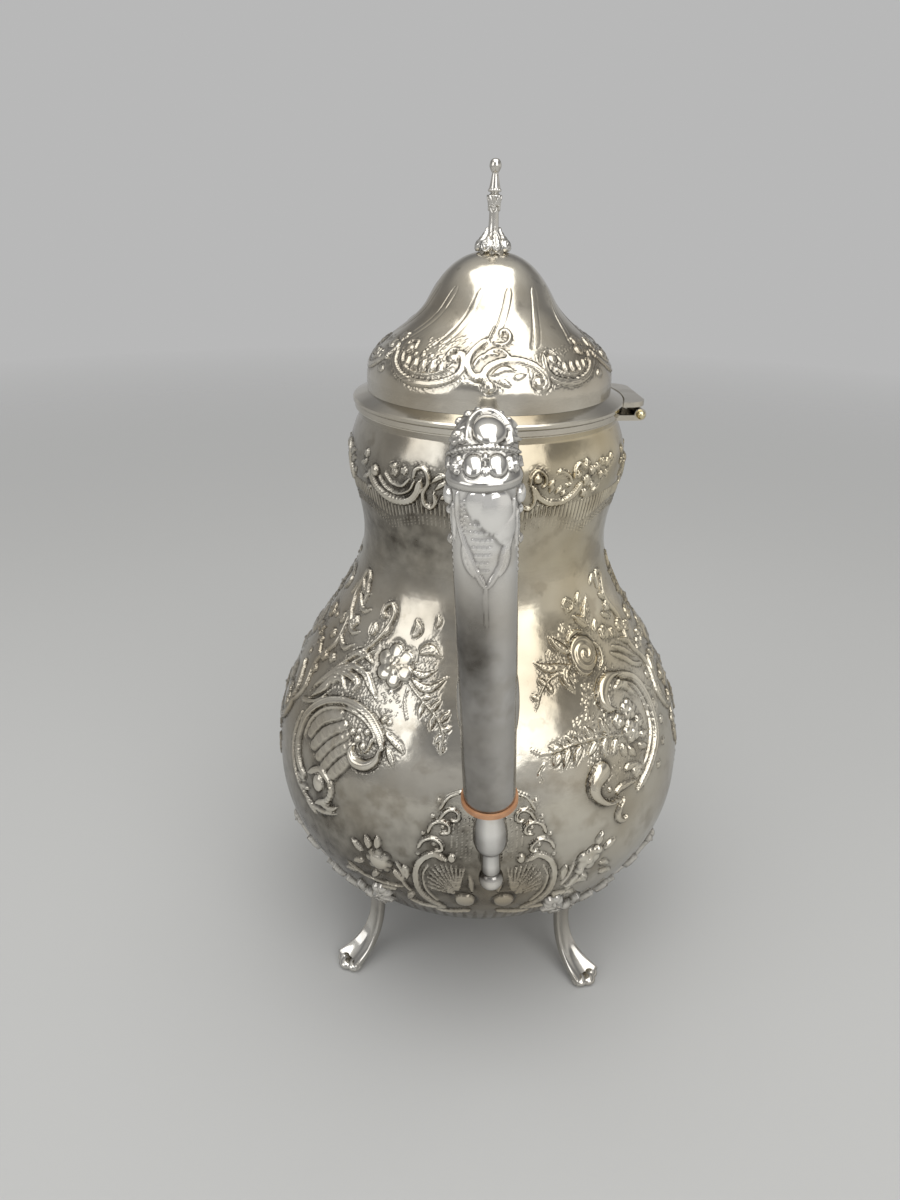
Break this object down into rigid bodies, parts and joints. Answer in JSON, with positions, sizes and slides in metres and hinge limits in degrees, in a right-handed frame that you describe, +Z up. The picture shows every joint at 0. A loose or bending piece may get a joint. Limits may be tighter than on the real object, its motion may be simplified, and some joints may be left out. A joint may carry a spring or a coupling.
{
  "type": "coffee pot",
  "caption": "Pear-shaped embossed silver coffee pot on scrolled feet, with a hinged domed lid, side-hinge, upright tubular handle with insulated joints and a swan-neck spout.",
  "frame": {"origin": "centre of the pot's axis at the surface it stands on, under the middle of its bounding box", "axes": "+Z up; the handle is at -Y, the spout at +Y and the lid's hinge near +X"},
  "size_m": [0.1404, 0.1756, 0.2625],
  "materials": {
    "silver": "polished hammered silver with tarnish in the recesses",
    "cast_silver": "cast and chased silver, polished on the high places",
    "tan_fibre": "satin pressed fibre",
    "hinge_pin": "worn yellow metal"
  },
  "bodies": {
    "pot": {"body": "silver", "mouth_wire": "silver", "spout": "silver", "strainer": "silver", "handle_upper_socket": "cast_silver", "handle_upper_insulator": "tan_fibre", "handle_upper_pin": "cast_silver", "handle_grip": "silver", "handle_inner_leaf": "cast_silver", "handle_lower_insulator": "tan_fibre", "handle_lower_socket": "cast_silver", "body_hinge_leaf": "silver", "hinge_pin": "hinge_pin", "foot_front_left": "cast_silver", "foot_front_right": "cast_silver", "foot_back_left": "cast_silver", "foot_back_right": "cast_silver"},
    "lid": {"lid_dome": "silver", "lid_flange": "silver", "lid_bezel": "silver", "lid_hinge_leaf": "silver", "finial": "cast_silver", "finial_washer": "cast_silver", "finial_nut": "cast_silver"}
  },
  "joints": [
    {"name": "lid_hinge", "type": "hinge", "parent": "pot", "child": "lid", "pos_m": [0.04401, 0.00502, 0.19395], "axis": [-0.1132, 0.9936, 0], "range_deg": [0, 105]}
  ]
}
